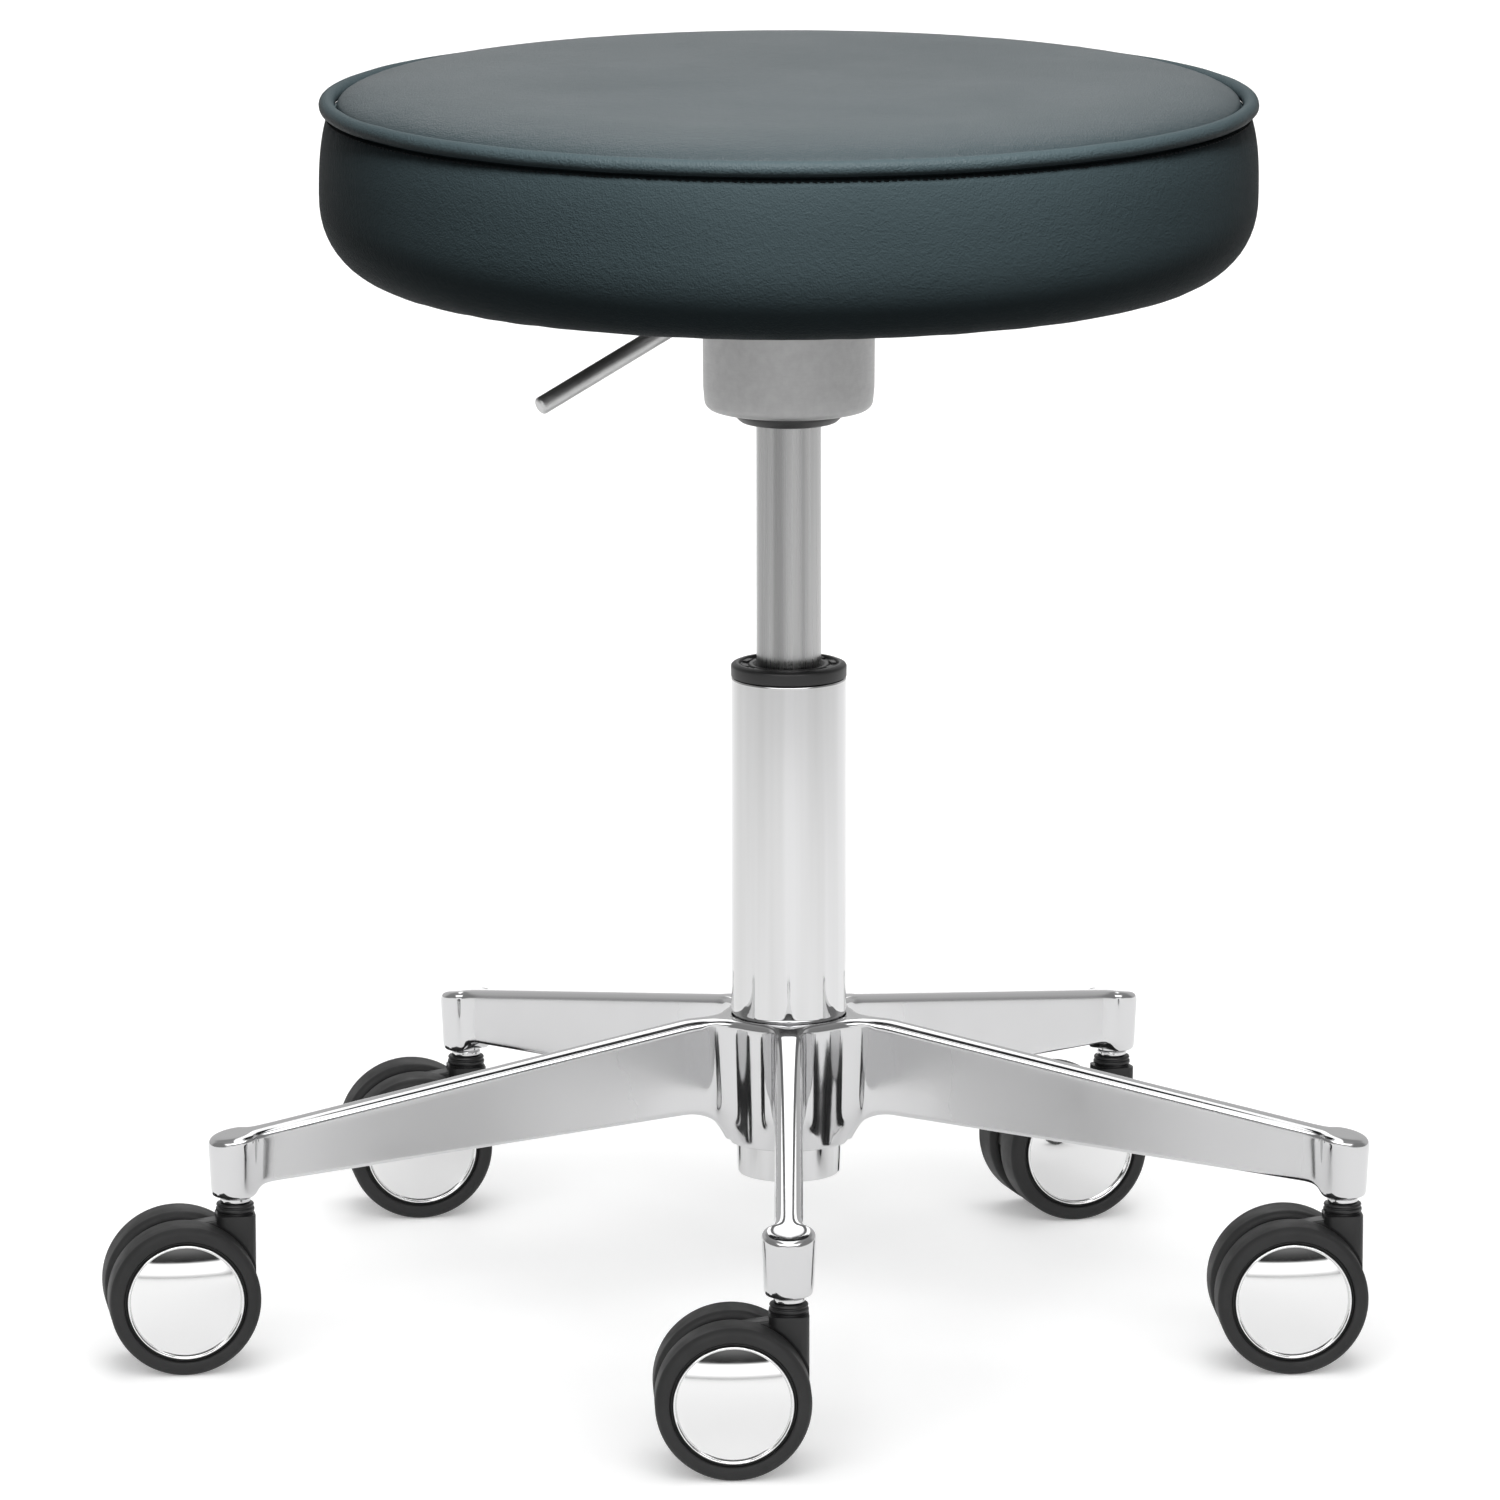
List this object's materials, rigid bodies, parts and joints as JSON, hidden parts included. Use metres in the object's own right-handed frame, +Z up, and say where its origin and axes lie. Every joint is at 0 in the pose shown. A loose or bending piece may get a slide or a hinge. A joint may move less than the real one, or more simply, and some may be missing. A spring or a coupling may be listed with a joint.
{
  "type": "adjustable swivel stool",
  "caption": "Round upholstered swivel stool: gas-spring height column with release lever on a polished star base with twin-wheel casters.",
  "frame": {"origin": "middle of the bounding box at floor level; the column axis stands 24 mm towards +X and 24 mm towards +Y of it, because the casters trail towards -X and the star has one arm towards -Y", "axes": "+Z up along the column; -Y along the front arm; +X to the right of a viewer who looks along +Y"},
  "size_m": [0.5458, 0.5052, 0.546],
  "materials": {
    "leatherette": "fine-grained blue-grey black leatherette, satin",
    "foam": "open moulded foam, matt",
    "plywood": "birch plywood, raw",
    "dust_cloth": "spunbonded black cloth, matt",
    "zinc_steel": "zinc-plated steel, satin",
    "black_steel": "black powder coat, fine texture",
    "brushed_housing": "fine-brushed satin metal",
    "lever_steel": "satin steel rod",
    "ground_steel": "ground stainless steel, vertical grain",
    "chrome_tube": "bright chrome",
    "chrome_pin": "bright chrome",
    "polished_aluminium": "mirror-polished cast aluminium",
    "black_plastic": "moulded black nylon, fine spark texture",
    "grey_tyre": "dark grey soft tread, matt",
    "mirror_cap": "bright chrome on plastic, domed",
    "bump_rubber": "black rubber, matt"
  },
  "bodies": {
    "base": {"base_casting": "polished_aluminium", "column_tube": "chrome_tube", "guide_bush": "black_plastic", "thrust_bearing": "zinc_steel", "bump_stop": "bump_rubber", "caster_front_stem": "chrome_pin", "caster_front_right_stem": "chrome_pin", "caster_back_right_stem": "chrome_pin", "caster_back_left_stem": "chrome_pin", "caster_front_left_stem": "chrome_pin"},
    "piston": {"piston_rod": "zinc_steel", "retaining_clip": "zinc_steel"},
    "seat": {"seat_top_cover": "leatherette", "seat_side_cover": "leatherette", "seat_piping": "leatherette", "seat_foam": "foam", "seat_board": "plywood", "seat_dust_cover": "dust_cloth", "seat_screw_1": "zinc_steel", "seat_screw_2": "zinc_steel", "seat_screw_3": "zinc_steel", "seat_screw_4": "zinc_steel", "mounting_plate": "black_steel", "housing_cover": "brushed_housing", "housing_bush": "black_plastic", "lever_pivot_pin": "zinc_steel", "gas_cylinder": "ground_steel"},
    "lever": {"release_lever": "lever_steel"},
    "valve": {"valve_pin": "zinc_steel"},
    "front_caster": {"caster_front_fork": "black_plastic", "caster_front_axle": "zinc_steel"},
    "front_near_wheel": {"caster_front_near_wheel": "grey_tyre", "caster_front_near_cap": "mirror_cap"},
    "front_far_wheel": {"caster_front_far_wheel": "grey_tyre", "caster_front_far_cap": "mirror_cap"},
    "front_right_caster": {"caster_front_right_fork": "black_plastic", "caster_front_right_axle": "zinc_steel"},
    "front_right_near_wheel": {"caster_front_right_near_wheel": "grey_tyre", "caster_front_right_near_cap": "mirror_cap"},
    "front_right_far_wheel": {"caster_front_right_far_wheel": "grey_tyre", "caster_front_right_far_cap": "mirror_cap"},
    "back_right_caster": {"caster_back_right_fork": "black_plastic", "caster_back_right_axle": "zinc_steel"},
    "back_right_near_wheel": {"caster_back_right_near_wheel": "grey_tyre", "caster_back_right_near_cap": "mirror_cap"},
    "back_right_far_wheel": {"caster_back_right_far_wheel": "grey_tyre", "caster_back_right_far_cap": "mirror_cap"},
    "back_left_caster": {"caster_back_left_fork": "black_plastic", "caster_back_left_axle": "zinc_steel"},
    "back_left_near_wheel": {"caster_back_left_near_wheel": "grey_tyre", "caster_back_left_near_cap": "mirror_cap"},
    "back_left_far_wheel": {"caster_back_left_far_wheel": "grey_tyre", "caster_back_left_far_cap": "mirror_cap"},
    "front_left_caster": {"caster_front_left_fork": "black_plastic", "caster_front_left_axle": "zinc_steel"},
    "front_left_near_wheel": {"caster_front_left_near_wheel": "grey_tyre", "caster_front_left_near_cap": "mirror_cap"},
    "front_left_far_wheel": {"caster_front_left_far_wheel": "grey_tyre", "caster_front_left_far_cap": "mirror_cap"}
  },
  "joints": [
    {"name": "seat_swivel", "type": "hinge", "parent": "base", "child": "piston", "pos_m": [0.024, 0.024, 0.0765], "axis": [0, 0, 1], "continuous": true},
    {"name": "seat_height", "type": "slide", "parent": "piston", "child": "seat", "axis": [0, 0, 1], "range_m": [-0.095, 0.035]},
    {"name": "lever_pull", "type": "hinge", "parent": "seat", "child": "lever", "pos_m": [0.00343, 0.01164, 0.448], "axis": [-0.515, 0.8572, 0], "range_deg": [0, 6], "stiffness_Nm_per_rad": 3, "springref_deg": -2.86},
    {"name": "valve_press", "type": "slide", "parent": "seat", "child": "valve", "axis": [0, 0, 1], "range_m": [-0.003, 0]},
    {"name": "front_caster_swivel", "type": "hinge", "parent": "base", "child": "front_caster", "pos_m": [0.024, -0.226, 0.07], "axis": [0, 0, 1], "continuous": true},
    {"name": "front_near_wheel_spin", "type": "hinge", "parent": "front_caster", "child": "front_near_wheel", "pos_m": [0.00105, -0.24206, 0.0325], "axis": [-0.0349, 0.9994, 0], "continuous": true},
    {"name": "front_far_wheel_spin", "type": "hinge", "parent": "front_caster", "child": "front_far_wheel", "pos_m": [-0.00002, -0.21158, 0.0325], "axis": [-0.0349, 0.9994, 0], "continuous": true},
    {"name": "front_right_caster_swivel", "type": "hinge", "parent": "base", "child": "front_right_caster", "pos_m": [0.26176, -0.05325, 0.07], "axis": [0, 0, 1], "continuous": true},
    {"name": "front_right_near_wheel_spin", "type": "hinge", "parent": "front_right_caster", "child": "front_right_near_wheel", "pos_m": [0.23938, -0.07011, 0.0325], "axis": [-0.0698, 0.9976, 0], "continuous": true},
    {"name": "front_right_far_wheel_spin", "type": "hinge", "parent": "front_right_caster", "child": "front_right_far_wheel", "pos_m": [0.23726, -0.03968, 0.0325], "axis": [-0.0698, 0.9976, 0], "continuous": true},
    {"name": "back_right_caster_swivel", "type": "hinge", "parent": "base", "child": "back_right_caster", "pos_m": [0.17095, 0.22625, 0.07], "axis": [0, 0, 1], "continuous": true},
    {"name": "back_right_near_wheel_spin", "type": "hinge", "parent": "back_right_caster", "child": "back_right_near_wheel", "pos_m": [0.15331, 0.20449, 0.0325], "axis": [-0.309, 0.9511, 0], "continuous": true},
    {"name": "back_right_far_wheel_spin", "type": "hinge", "parent": "back_right_caster", "child": "back_right_far_wheel", "pos_m": [0.14388, 0.2335, 0.0325], "axis": [-0.309, 0.9511, 0], "continuous": true},
    {"name": "back_left_caster_swivel", "type": "hinge", "parent": "base", "child": "back_left_caster", "pos_m": [-0.12295, 0.22625, 0.07], "axis": [0, 0, 1], "continuous": true},
    {"name": "back_left_near_wheel_spin", "type": "hinge", "parent": "back_left_caster", "child": "back_left_near_wheel", "pos_m": [-0.14377, 0.20752, 0.0325], "axis": [-0.1564, 0.9877, 0], "continuous": true},
    {"name": "back_left_far_wheel_spin", "type": "hinge", "parent": "back_left_caster", "child": "back_left_far_wheel", "pos_m": [-0.14854, 0.23764, 0.0325], "axis": [-0.1564, 0.9877, 0], "continuous": true},
    {"name": "front_left_caster_swivel", "type": "hinge", "parent": "base", "child": "front_left_caster", "pos_m": [-0.21376, -0.05325, 0.07], "axis": [0, 0, 1], "continuous": true},
    {"name": "front_left_near_wheel_spin", "type": "hinge", "parent": "front_left_caster", "child": "front_left_near_wheel", "pos_m": [-0.23491, -0.07163, 0.0325], "axis": [-0.1392, 0.9903, 0], "continuous": true},
    {"name": "front_left_far_wheel_spin", "type": "hinge", "parent": "front_left_caster", "child": "front_left_far_wheel", "pos_m": [-0.23916, -0.04142, 0.0325], "axis": [-0.1392, 0.9903, 0], "continuous": true}
  ],
  "couplings": [
    {"joint": "valve_press", "follows": "lever_pull", "m_per_rad": -0.0277}
  ]
}
